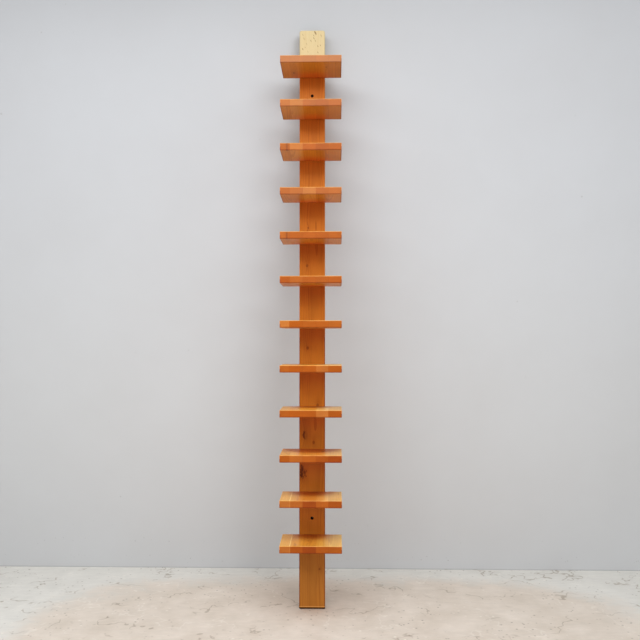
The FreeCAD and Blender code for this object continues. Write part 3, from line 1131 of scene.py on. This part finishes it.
FLOOR_SHADOW_TINT = (0.91, 0.88, 0.86, 1.0)
FAR_FLOOR_FADE = (-0.5, -2.2)
FAR_FLOOR_SHADE_TINT = (0.66, 0.66, 0.66, 1.0)


def floor_material():
    material, tree, shader = new_material("pale_floor")
    place = frame_place(tree)
    reach = 0.0
    for along, middle, half in zip(parts_of(tree, place), SCREED_MIDDLE, SCREED_HALF):
        share = maths(tree, "DIVIDE", maths(tree, "SUBTRACT", along, middle), half)
        reach = maths(tree, "ADD", maths(tree, "POWER", share, SCREED_SQUARENESS), reach)
    reach = scaled(tree, noise(tree, place, *SCREED_NOISE), SCREED_WANDER, reach)
    paint = mottled(tree, place, FLOOR_MOTTLE, *FLOOR_PAINT)
    screed = mottled(tree, place, FLOOR_MOTTLE, *SCREED)
    colour = blend_colours(tree, fade(tree, reach, *SCREED_FADE), paint, screed)
    streaks = noise(tree, stretched(tree, place, STREAK_SHAPE), *STREAK_NOISE)
    colour = shaded(tree, colour, scaled(tree, streaks, *STREAK_SPAN))
    colour = marked(tree, colour, specks_in(tree, place, *GRIT), *GRIT_MARK)
    chips = specks_in(tree, vector_maths(tree, "ADD", place, CHIPS_ASIDE), *CHIPS)
    colour = marked(tree, colour, chips, *CHIP_MARK)
    colour = marked(tree, colour, scratches_in(tree, place), *SCRATCH_MARK)
    scuffs = scratches_in(tree, vector_maths(tree, "ADD", place, SCUFFS_ASIDE))
    colour = marked(tree, colour, scuffs, *SCUFF_MARK)
    # A painted soft shadow on the floor round the shelf's foot.
    from_foot = length_of(tree, vector_maths(tree, "SUBTRACT", place, BEHIND_FOOT))
    colour = tinted(tree, colour, fade(tree, from_foot, *FLOOR_SHADOW_FADE), FLOOR_SHADOW_TINT)
    # Painted shade, for the camera only, on the far floor under the ceiling panel's bright pool.
    seen = add(tree, "ShaderNodeLightPath").outputs["Is Camera Ray"]
    far = fade(tree, parts_of(tree, place)["Y"], *FAR_FLOOR_FADE)
    colour = tinted(tree, colour, times(tree, far, seen), FAR_FLOOR_SHADE_TINT)
    feed(tree, shader.inputs["Base Color"], colour)
    shader.inputs["Roughness"].default_value = FLOOR_ROUGHNESS
    return material


WALL_MOTTLE = 1.2
WALL_PAINT = ((208, 210, 213), (202, 203, 205))
WALL_ROUGHNESS = 0.9
WALL_TOP_SHADE_FADE = (0.5, 2.1)
WALL_TOP_SHADE_TINT = (0.93, 0.94, 0.965, 1.0)
WALL_PITS = (45.0, 0.012)
WALL_PIT_MARK = (0.30, (150, 147, 144))
WALL_GRIT = (60.0, 0.35)
WALL_GRIT_FADE = (0.30, 0.02)
WALL_GRIT_MARK = (0.40, (120, 118, 116))
WALL_FOOT_SHADE_FADE = (0.006, 0.002)
WALL_FOOT_SHADE_MARK = (0.35, (140, 138, 136))
CLOSE_TO_SHELF_FADE = (0.30, 0.12)
ABOVE_FLOOR_FADE = (0.5, 0.9)


def open_behind(tree, shader, height):
    """Shows the wall only from its front, and lets light through it close to the shelf's back."""
    facing = add(tree, "ShaderNodeNewGeometry")
    path = add(tree, "ShaderNodeLightPath")
    close = fade(tree, path.outputs["Ray Length"], *CLOSE_TO_SHELF_FADE)
    unseen = times(tree, close, fade(tree, height, *ABOVE_FLOOR_FADE))
    clear = add(tree, "ShaderNodeBsdfTransparent")
    choice = add(tree, "ShaderNodeMixShader")
    factor = maths(tree, "MAXIMUM", facing.outputs["Backfacing"], unseen)
    feed(tree, choice.inputs["Fac"], factor)
    feed(tree, choice.inputs[1], shader.outputs["BSDF"])
    feed(tree, choice.inputs[2], clear.outputs["BSDF"])
    output = next(node for node in tree.nodes if node.type == "OUTPUT_MATERIAL")
    feed(tree, output.inputs["Surface"], choice.outputs[0])


def wall_material():
    material, tree, shader = new_material("pale_wall")
    place = frame_place(tree)
    height = parts_of(tree, place)["Z"]
    colour = mottled(tree, place, WALL_MOTTLE, *WALL_PAINT)
    colour = marked(tree, colour, specks_in(tree, place, *WALL_PITS), *WALL_PIT_MARK)
    # Painted shade: the wall darker towards its top.
    colour = tinted(tree, colour, fade(tree, height, *WALL_TOP_SHADE_FADE), WALL_TOP_SHADE_TINT)
    grit = times(tree, specks_in(tree, place, *WALL_GRIT), fade(tree, height, *WALL_GRIT_FADE))
    colour = marked(tree, colour, grit, *WALL_GRIT_MARK)
    # A thin painted shade line where the wall meets the floor.
    colour = marked(tree, colour, fade(tree, height, *WALL_FOOT_SHADE_FADE), *WALL_FOOT_SHADE_MARK)
    feed(tree, shader.inputs["Base Color"], colour)
    shader.inputs["Roughness"].default_value = WALL_ROUGHNESS
    open_behind(tree, shader, height)
    return material


sheet_of("floor", (
    (-ROOM_HALF_WIDTH, -ROOM_DEPTH, 0.0),
    (ROOM_HALF_WIDTH, -ROOM_DEPTH, 0.0),
    (ROOM_HALF_WIDTH, ROOM_DEPTH, 0.0),
    (-ROOM_HALF_WIDTH, ROOM_DEPTH, 0.0),
), floor_material())
wall_slope = (WALL_BEHIND_TOP - WALL_BEHIND_FOOT) / cad_box[1].z
wall_head = WALL_BEHIND_FOOT + wall_slope * WALL_HEIGHT
sheet_of("wall", (
    (-ROOM_HALF_WIDTH, WALL_BEHIND_FOOT, 0.0),
    (ROOM_HALF_WIDTH, WALL_BEHIND_FOOT, 0.0),
    (ROOM_HALF_WIDTH, wall_head, WALL_HEIGHT),
    (-ROOM_HALF_WIDTH, wall_head, WALL_HEIGHT),
), wall_material())


# ---- The lamps and the camera ----
# Soft light as from a bright ceiling: a wide panel overhead, one lamp high up in front and to the
# right, and a pale sky all round. The camera stands a little over 1 m high, nearly 3 m away.

SKY = (252, 254, 255)
SKY_STRENGTH = 0.35
CAMERA_PLACE = (0.0984, -2.9251, 1.0832)
CAMERA_AIM = (0.0322, -0.0225, 1.1694)
CAMERA_LENS = 39.94
CAMERA_SENSOR = 36.0


def put(name, data, place, aim):
    """Adds a lamp or camera at a place, turned to what it is aimed at."""
    thing = bpy.data.objects.new(name, data)
    thing.location = place
    thing.rotation_euler = (Vector(aim) - Vector(place)).to_track_quat("-Z", "Y").to_euler()
    bpy.context.scene.collection.objects.link(thing)
    return thing


def area_lamp(name, place, aim, width, height, power):
    light = bpy.data.lights.new(name, "AREA")
    light.shape = "RECTANGLE"
    light.size = width
    light.size_y = height
    light.energy = power
    put(name, light, place, aim)


area_lamp(
    "ceiling_panel", place=(-0.35, -2.45, 2.9), aim=(-0.35, -2.45, 0.0),
    width=4.0, height=3.0, power=144.0,
)
area_lamp(
    "front_lamp", place=(1.9, -3.9, 2.7), aim=(0.0, 0.0, 1.2),
    width=1.6, height=1.2, power=32.0,
)

world = bpy.data.worlds.new("room_light")
world.use_nodes = True
background = world.node_tree.nodes["Background"]
background.inputs["Color"].default_value = srgb(*SKY)
background.inputs["Strength"].default_value = SKY_STRENGTH
bpy.context.scene.world = world
bpy.context.scene.view_settings.view_transform = "Standard"

lens = bpy.data.cameras.new("camera")
lens.lens = CAMERA_LENS
lens.sensor_width = CAMERA_SENSOR
bpy.context.scene.camera = put("camera", lens, CAMERA_PLACE, CAMERA_AIM)
